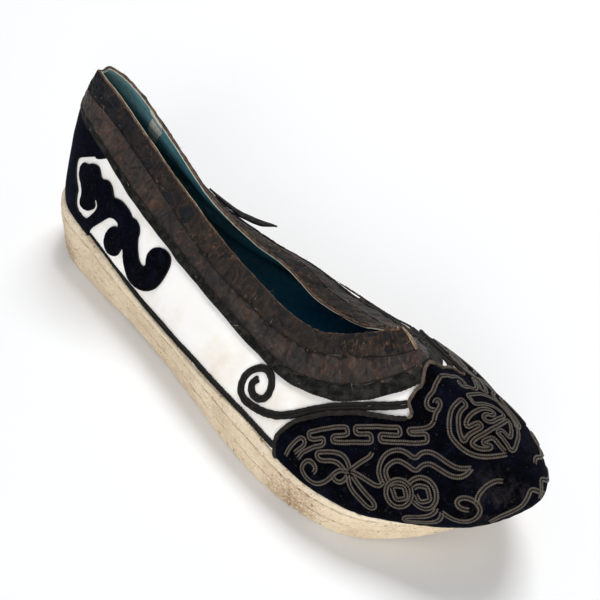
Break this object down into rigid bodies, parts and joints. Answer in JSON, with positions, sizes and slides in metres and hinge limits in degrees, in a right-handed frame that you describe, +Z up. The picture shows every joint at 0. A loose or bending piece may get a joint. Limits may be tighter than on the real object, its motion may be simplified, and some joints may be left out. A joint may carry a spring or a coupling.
{
  "type": "embroidered cloth shoe",
  "caption": "Low cloth slip-on shoe with a narrow slit collar, velvet toe cap and heel appliqués, brocade band and a thick layered cloth sole with toe spring.",
  "frame": {"origin": "on the floor under the middle of the overall box", "axes": "+X to the toe, +Z up, -Y to the side that the picture shows"},
  "size_m": [0.255, 0.0884, 0.0871],
  "materials": {
    "sole_cotton": "worn layered cotton, whitened edge",
    "ply_cotton": "whitened cotton",
    "lining": "plain dyed cotton",
    "white_cotton": "plain woven cotton",
    "velvet": "short pile, couched cord work",
    "binding": "worn plain weave",
    "brocade": "patterned silk, creased",
    "tape": "napped tape",
    "braid": "twisted silk cord"
  },
  "bodies": {
    "root": {"sole_stack": "sole_cotton", "sole_top_ply": "ply_cotton", "insole": "lining", "upper": "white_cotton", "toe_cap": "velvet", "heel_velvet": "velvet", "collar_binding": "binding", "collar_band": "brocade", "collar_trim": "tape", "band_flap": "tape", "foot_cord_near": "braid", "foot_cord_far": "braid", "scroll_braid_near": "braid", "scroll_braid_far": "braid"}
  },
  "joints": []
}
